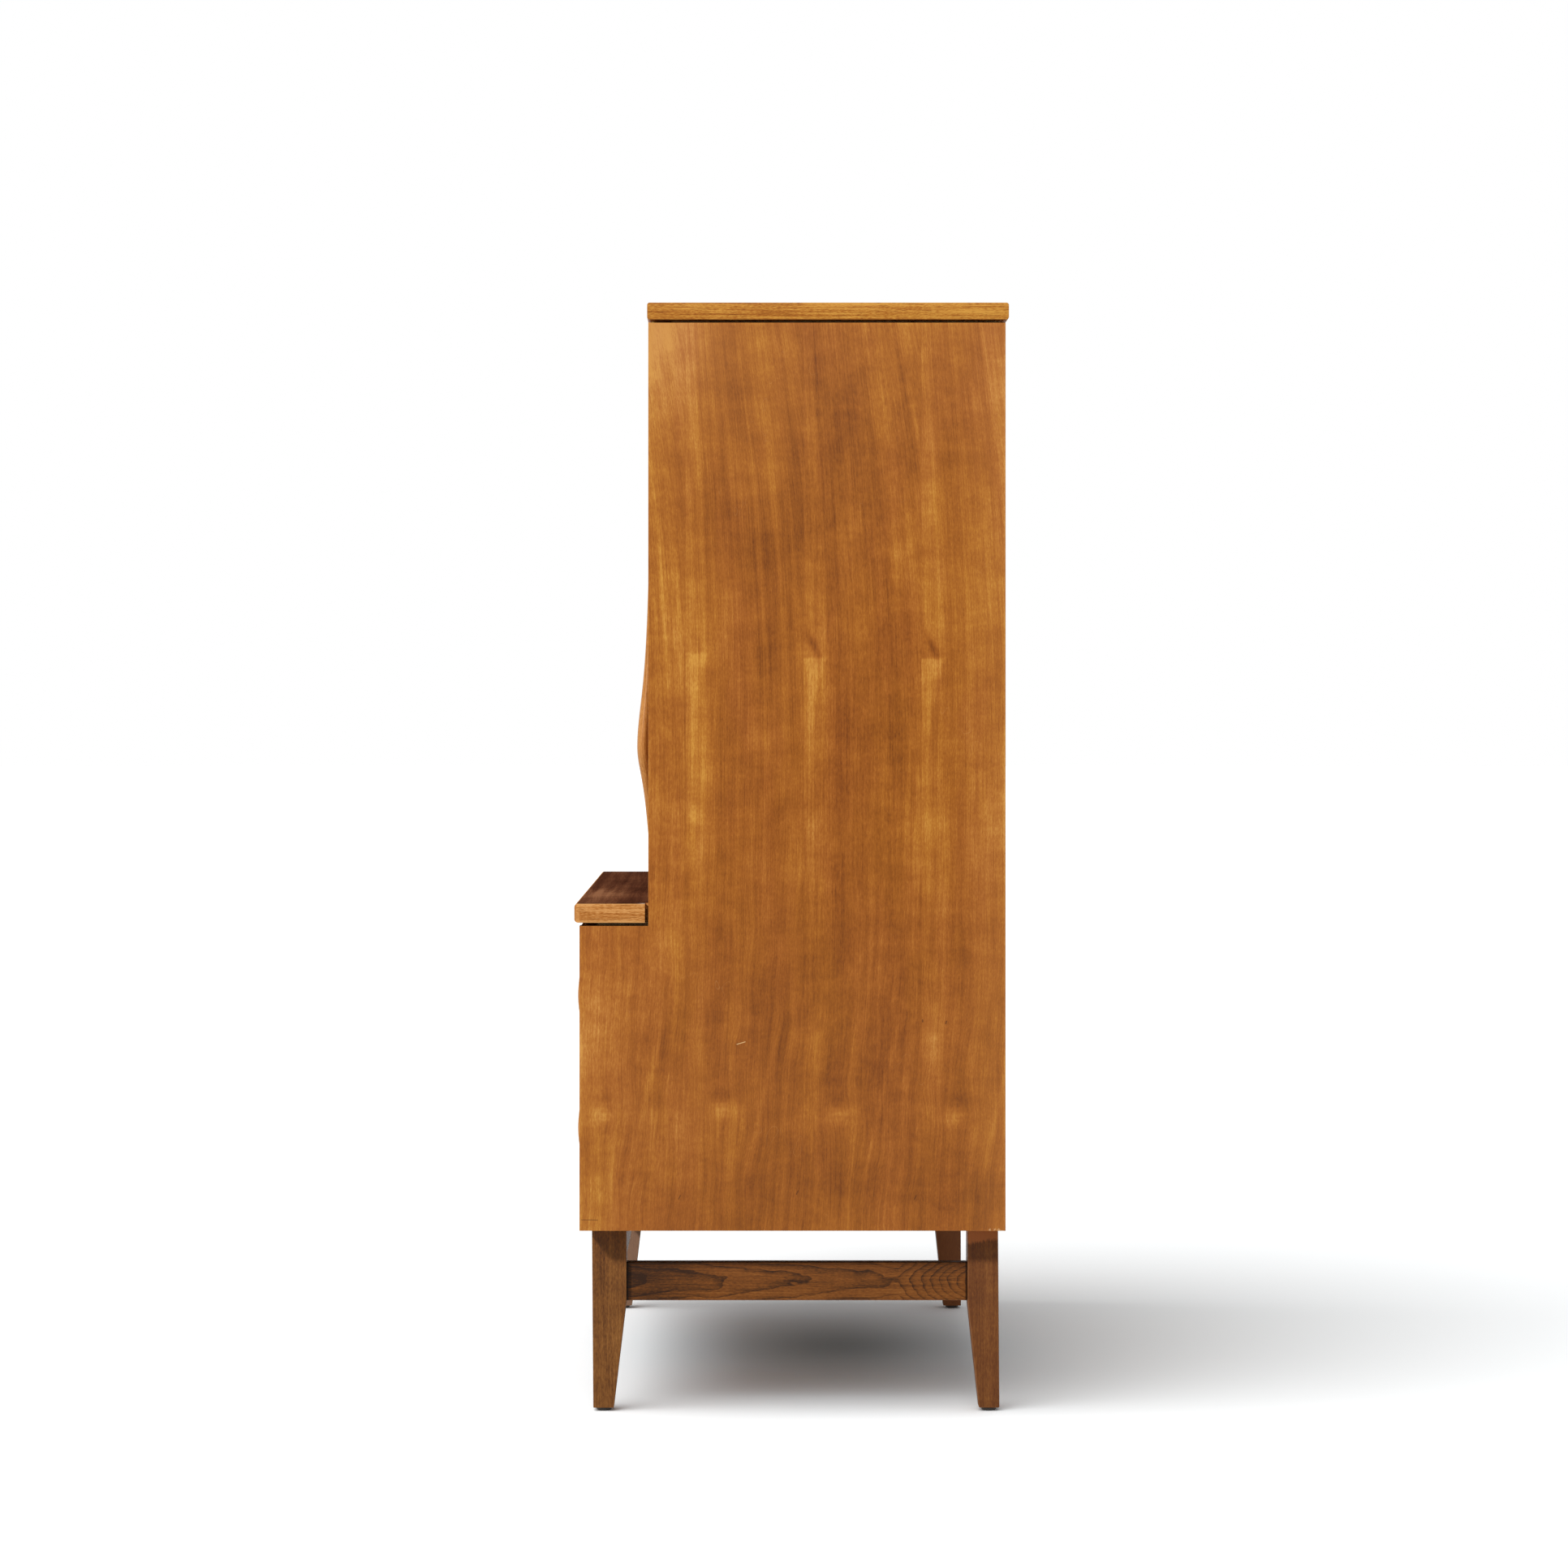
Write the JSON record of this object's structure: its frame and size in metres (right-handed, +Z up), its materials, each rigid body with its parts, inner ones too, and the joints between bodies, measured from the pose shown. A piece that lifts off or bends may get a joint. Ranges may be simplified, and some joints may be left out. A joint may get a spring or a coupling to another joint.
{
  "type": "highboy",
  "caption": "Stepped highboy on tapered legs: a cupboard with paired doors above a deeper chest of drawers, with sculpted leaf pulls.",
  "frame": {"origin": "on the floor, under the middle of the outline's width and depth, pulls included", "axes": "+Z up, the front with its doors and drawers faces -Y, +X to the right as seen from the front"},
  "size_m": [1.016, 0.536, 1.3414],
  "materials": {
    "veneer": "honey brown veneer, satin lacquer",
    "slab_wood": "honey brown, satin lacquer",
    "ledge_wood": "dark reddish brown, satin lacquer",
    "dark_wood": "dark brown, satin lacquer",
    "pull_wood": "oiled and sculpted",
    "box_wood": "bare secondary wood",
    "back_board": "bare hardboard",
    "brass": "plain",
    "steel": "zinc plated",
    "plastic": "brown moulded",
    "glide": "dark moulded"
  },
  "bodies": {
    "case": {"left_side_panel": "veneer", "right_side_panel": "veneer", "top_slab": "slab_wood", "sub_top": "box_wood", "ledge_slab": "ledge_wood", "middle_deck": "box_wood", "bottom_panel": "veneer", "back_panel": "back_board", "fixed_shelf": "veneer", "loose_shelf": "veneer", "front_left_shelf_pin": "brass", "rear_left_shelf_pin": "brass", "front_right_shelf_pin": "brass", "rear_right_shelf_pin": "brass", "front_left_leg": "dark_wood", "front_right_leg": "dark_wood", "rear_left_leg": "dark_wood", "rear_right_leg": "dark_wood", "front_left_leg_bolt": "steel", "front_right_leg_bolt": "steel", "rear_left_leg_bolt": "steel", "rear_right_leg_bolt": "steel", "front_left_glide": "glide", "front_right_glide": "glide", "rear_left_glide": "glide", "rear_right_glide": "glide", "left_side_stretcher": "dark_wood", "right_side_stretcher": "dark_wood", "front_stretcher": "dark_wood", "left_bottom_case_leaf": "brass", "left_top_case_leaf": "brass", "right_bottom_case_leaf": "brass", "right_top_case_leaf": "brass", "magnetic_catch": "plastic", "front_drawer_rail": "box_wood", "rear_drawer_rail": "box_wood", "lower_drawer_guide": "box_wood", "upper_drawer_guide": "box_wood"},
    "left_door": {"left_door": "veneer", "left_door_pull": "pull_wood", "left_strike": "steel", "left_bottom_door_leaf": "brass", "left_top_door_leaf": "brass"},
    "right_door": {"right_door": "veneer", "right_door_pull": "pull_wood", "right_strike": "steel", "right_bottom_door_leaf": "brass", "right_top_door_leaf": "brass"},
    "lower_drawer": {"lower_drawer_front": "veneer", "lower_drawer_back": "box_wood", "lower_drawer_bottom": "back_board", "lower_drawer_pull": "pull_wood", "lower_drawer_left_side": "box_wood", "lower_drawer_right_side": "box_wood"},
    "upper_drawer": {"upper_drawer_front": "veneer", "upper_drawer_back": "box_wood", "upper_drawer_bottom": "back_board", "upper_drawer_pull": "pull_wood", "upper_drawer_left_side": "box_wood", "upper_drawer_right_side": "box_wood"}
  },
  "joints": [
    {"name": "left_door_hinge", "type": "hinge", "parent": "case", "child": "left_door", "pos_m": [-0.4685, -0.15832, 0.6214], "axis": [0, 0, -1], "range_deg": [0, 110]},
    {"name": "right_door_hinge", "type": "hinge", "parent": "case", "child": "right_door", "pos_m": [0.4685, -0.15832, 0.6214], "axis": [0, 0, 1], "range_deg": [0, 110]},
    {"name": "lower_drawer_slide", "type": "slide", "parent": "case", "child": "lower_drawer", "axis": [0, -1, 0], "range_m": [0, 0.36]},
    {"name": "upper_drawer_slide", "type": "slide", "parent": "case", "child": "upper_drawer", "axis": [0, -1, 0], "range_m": [0, 0.36]}
  ]
}
